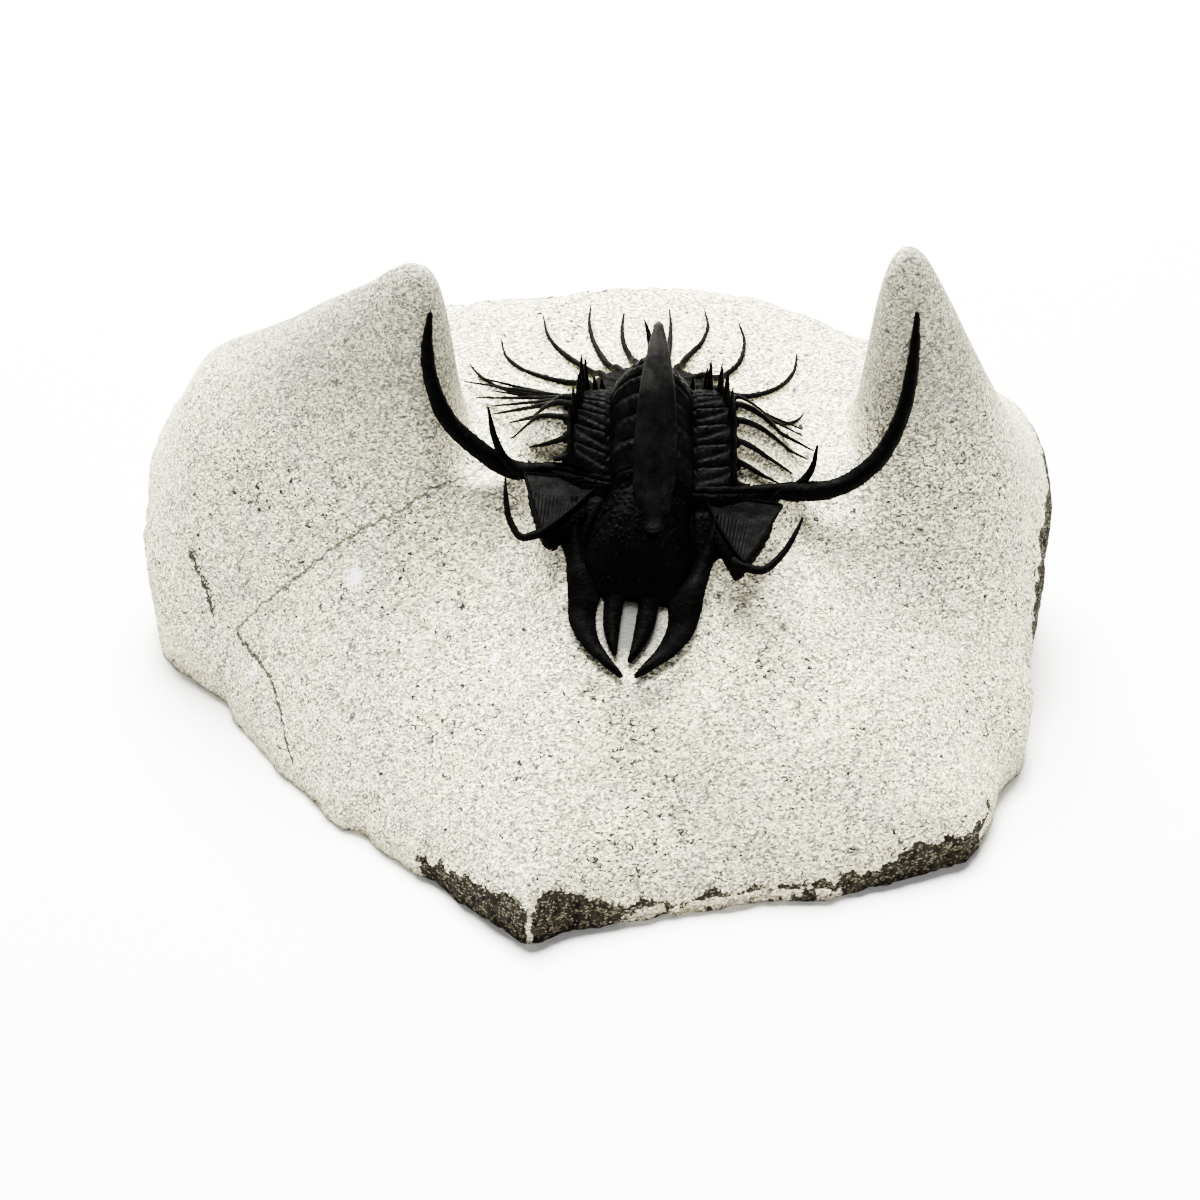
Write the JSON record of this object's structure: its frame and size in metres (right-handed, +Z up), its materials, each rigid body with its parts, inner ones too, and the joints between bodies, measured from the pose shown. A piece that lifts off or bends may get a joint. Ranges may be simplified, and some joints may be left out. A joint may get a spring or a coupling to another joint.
{
  "type": "trilobite fossil",
  "caption": "Spiny black trilobite prepared in full relief on a pale limestone block, with a pronged snout, a tall horn and long cheek spines resting on stone pillars.",
  "frame": {"origin": "middle of the block's bounding box, on its flat underside", "axes": "+Z up from the underside, -Y the way the animal's head faces, +X towards the animal's left, which is on the right seen from in front"},
  "size_m": [0.1194, 0.0921, 0.0608],
  "materials": {
    "pale_limestone": "matte",
    "black_calcite_shell": "satin"
  },
  "bodies": {
    "root": {"matrix": "pale_limestone", "cephalon": "black_calcite_shell", "thoracic_segment_01": "black_calcite_shell", "thoracic_segment_02": "black_calcite_shell", "thoracic_segment_03": "black_calcite_shell", "thoracic_segment_04": "black_calcite_shell", "thoracic_segment_05": "black_calcite_shell", "thoracic_segment_06": "black_calcite_shell", "thoracic_segment_07": "black_calcite_shell", "thoracic_segment_08": "black_calcite_shell", "thoracic_segment_09": "black_calcite_shell", "thoracic_segment_10": "black_calcite_shell", "thoracic_segment_11": "black_calcite_shell", "pygidium": "black_calcite_shell"}
  },
  "joints": []
}
